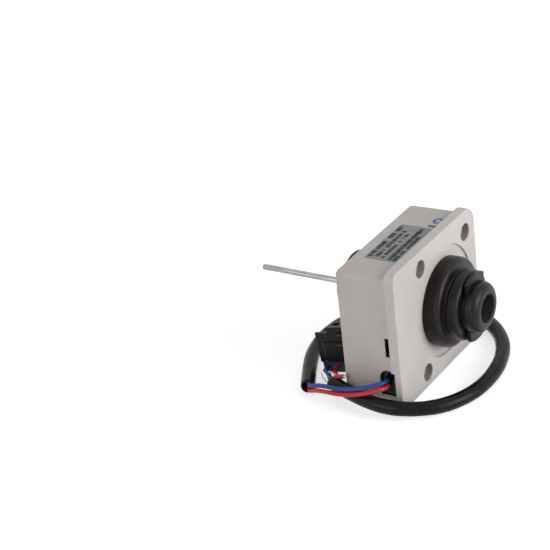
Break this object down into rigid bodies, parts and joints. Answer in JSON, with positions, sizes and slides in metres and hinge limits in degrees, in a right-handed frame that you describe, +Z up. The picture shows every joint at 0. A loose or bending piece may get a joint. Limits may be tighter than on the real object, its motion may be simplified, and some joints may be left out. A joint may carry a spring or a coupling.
{
  "type": "dc motor",
  "caption": "Square-cased dc fan motor with a long steel shaft, stepped rubber mounts at both ends and a sleeved wire harness with a plug.",
  "frame": {"origin": "on the shaft axis, in the outer face of the rear cover", "axes": "+X along the shaft towards the rear rubber mount, +Y away from the side the wires leave, +Z up through the labelled face"},
  "size_m": [0.134, 0.1101, 0.0722],
  "materials": {
    "case_plastic": "light warm grey moulded plastic",
    "cover_plastic": "light grey moulded plastic",
    "mount_rubber": "black, slightly glossy",
    "shaft_steel": "ground",
    "spring_steel": "plain",
    "bush_bronze": "sintered",
    "oil_felt": "oiled felt",
    "slide_plastic": "natural",
    "washer_plastic": "amber",
    "magnet_ferrite": "ground",
    "hub_plastic": "plain",
    "core_steel": "stacked sheets",
    "insulator_plastic": "plain",
    "coil_copper": "enamelled wire",
    "screw_steel": "zinc plated",
    "board_green": "solder mask",
    "chip_black": "plain",
    "capacitor_sleeve": "plain",
    "resistor_coat": "plain",
    "header_plastic": "plain",
    "label_film": "printed film",
    "wire_blue": "soft pvc",
    "wire_red": "soft pvc",
    "sleeve_black": "soft pvc",
    "plug_black": "plain",
    "cap_grey": "plain",
    "terminal_tin": "tin plated"
  },
  "bodies": {
    "stator": {"housing": "case_plastic", "rear_cover": "cover_plastic", "rear_rubber_mount": "mount_rubber", "front_rubber_mount": "mount_rubber", "rear_bush": "bush_bronze", "front_bush": "bush_bronze", "rear_oil_felt": "oil_felt", "front_oil_felt": "oil_felt", "rear_bush_retainer": "spring_steel", "front_bush_retainer": "spring_steel", "thrust_pad": "slide_plastic", "stator_core": "core_steel", "front_insulator": "insulator_plastic", "rear_insulator": "insulator_plastic", "stator_screws": "screw_steel", "circuit_board": "board_green", "driver_chip": "chip_black", "hall_sensor": "chip_black", "filter_capacitor": "capacitor_sleeve", "upper_resistor": "resistor_coat", "lower_resistor": "resistor_coat", "wire_header": "header_plastic", "label": "label_film", "wire_sleeve": "sleeve_black", "blue_wire": "wire_blue", "red_wire": "wire_red", "connector_housing": "plug_black", "connector_cap": "cap_grey", "blue_terminal": "terminal_tin", "red_terminal": "terminal_tin", "coil_1": "coil_copper", "coil_2": "coil_copper", "coil_3": "coil_copper", "coil_4": "coil_copper", "coil_5": "coil_copper", "coil_6": "coil_copper"},
    "rotor": {"shaft": "shaft_steel", "shaft_clip": "spring_steel", "rotor_hub": "hub_plastic", "rotor_magnet": "magnet_ferrite", "rear_thrust_washer": "washer_plastic", "front_thrust_washer": "washer_plastic"}
  },
  "joints": [
    {"name": "rotor_spin", "type": "hinge", "parent": "stator", "child": "rotor", "pos_m": [0, 0, 0], "axis": [-1, 0, 0], "continuous": true}
  ]
}
